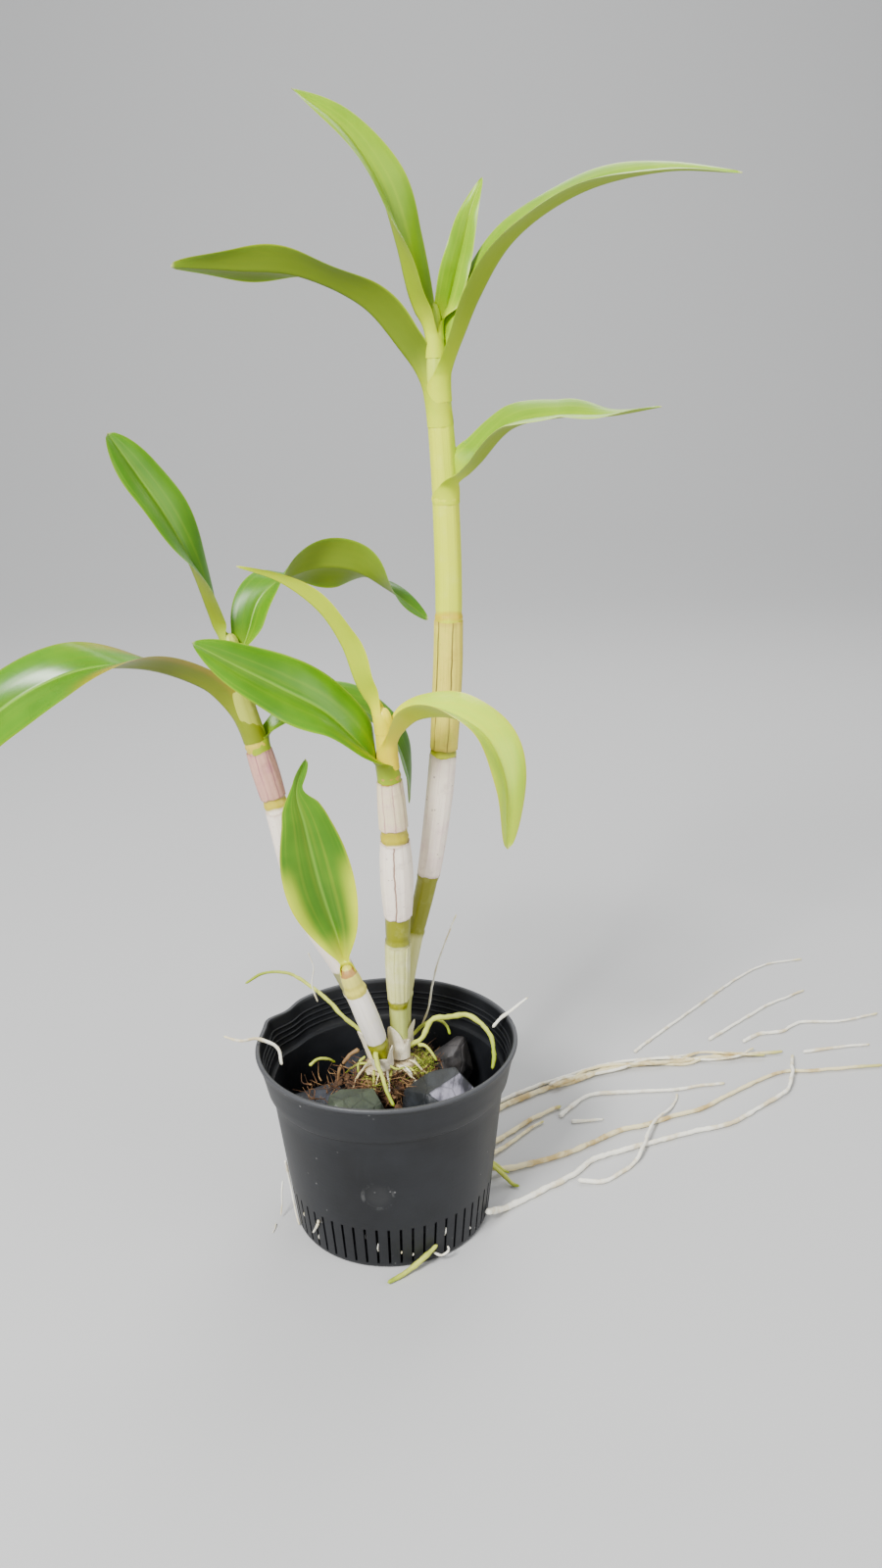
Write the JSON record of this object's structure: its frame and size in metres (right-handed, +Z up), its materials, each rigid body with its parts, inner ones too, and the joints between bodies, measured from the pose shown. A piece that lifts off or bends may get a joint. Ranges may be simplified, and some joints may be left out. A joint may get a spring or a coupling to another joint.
{
  "type": "potted cane orchid",
  "caption": "Young cane orchid with strap leaves and bare roots, standing in charcoal in a round slotted plastic pot.",
  "frame": {"origin": "centre of the pot's flat underside", "axes": "+Z up along the pot's axis, +X towards the plant's right, where the roots lie, +Y to its back"},
  "size_m": [0.5069, 0.3323, 0.5176],
  "materials": {
    "pot_plastic": "thin black moulded plastic, satin, with dust and scuffs",
    "charcoal": "broken charcoal, grey-black, dull with dusty flats",
    "fibre": "brown bark fibre and old root stubs, matt",
    "cane": "waxy yellow-green cane skin with olive joints, satin",
    "sheath": "dry papery white sleeve with fine ribs and brown specks",
    "leaf": "leathery strap leaf, yellow-green to deep green, satin with a waxy shine",
    "root": "white spongy root skin, yellow-green towards the tips, matt"
  },
  "bodies": {
    "root": {"charcoal_back": "charcoal", "charcoal_front_left": "charcoal", "charcoal_front_right": "charcoal", "charcoal_left": "charcoal", "charcoal_low_1": "charcoal", "charcoal_low_2": "charcoal", "charcoal_low_3": "charcoal", "charcoal_low_4": "charcoal", "charcoal_mid_1": "charcoal", "charcoal_mid_2": "charcoal", "charcoal_mid_3": "charcoal", "charcoal_mid_4": "charcoal", "charcoal_right": "charcoal", "crown": "fibre", "fibre_plug": "fibre", "leaf_front": "leaf", "leaf_left_arching": "leaf", "leaf_left_drooping": "leaf", "leaf_left_hidden": "leaf", "leaf_left_upright": "leaf", "leaf_middle_left": "leaf", "leaf_middle_narrow": "leaf", "leaf_middle_right": "leaf", "leaf_top_arching": "leaf", "leaf_top_centre": "leaf", "leaf_top_left": "leaf", "leaf_top_right": "leaf", "leaf_upper_right": "leaf", "left_cane": "cane", "left_papery_sheath": "sheath", "left_upper_sheath": "sheath", "middle_cane": "cane", "middle_lower_sheath": "sheath", "middle_papery_sheath": "sheath", "middle_striped_sheath": "sheath", "pot": "pot_plastic", "root_cross": "root", "root_far": "root", "root_far_braid": "root", "root_far_lower_tip": "root", "root_far_thin": "root", "root_far_upper_tip": "root", "root_fork": "root", "root_front": "root", "root_green_tip": "root", "root_middle": "root", "root_near": "root", "root_near_branch": "root", "root_over_front": "root", "root_over_left_rim": "root", "root_pair_left": "root", "root_pair_right": "root", "root_right_rim_tip": "root", "root_right_wall": "root", "root_thread": "root", "root_white_left": "root", "short_cane": "cane", "tall_cane": "cane", "tall_papery_sheath": "sheath", "tall_ribbed_sheath": "sheath"}
  },
  "joints": []
}
